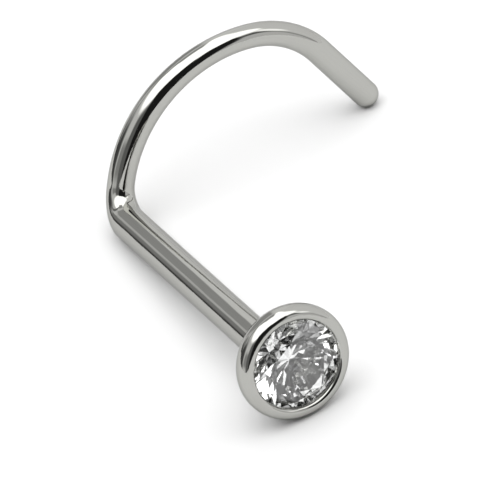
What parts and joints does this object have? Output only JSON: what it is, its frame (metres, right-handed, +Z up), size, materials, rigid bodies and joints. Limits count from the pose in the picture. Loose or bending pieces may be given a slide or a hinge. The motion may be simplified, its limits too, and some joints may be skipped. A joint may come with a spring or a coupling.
{
  "type": "nose stud",
  "caption": "Nose stud of the screw kind: a round clear stone in a polished steel bezel cup, a straight post, and an open hook that bends off at a right angle and ends in a rounded tip.",
  "frame": {"origin": "bottom centre of the box around the whole stud as it lies on a level surface", "axes": "-Y the way the stone faces, +Y along the post from the cup to the hook (the post sinks by about 6 degrees towards the hook), +X the way the hook reaches, +Z up from the surface"},
  "size_m": [0.0078, 0.0096, 0.0033],
  "materials": {
    "polished_steel": "mirror polished",
    "clear_stone": "faceted and polished, clear"
  },
  "bodies": {
    "root": {"hook_post_and_cup": "polished_steel", "round_stone": "clear_stone"}
  },
  "joints": []
}
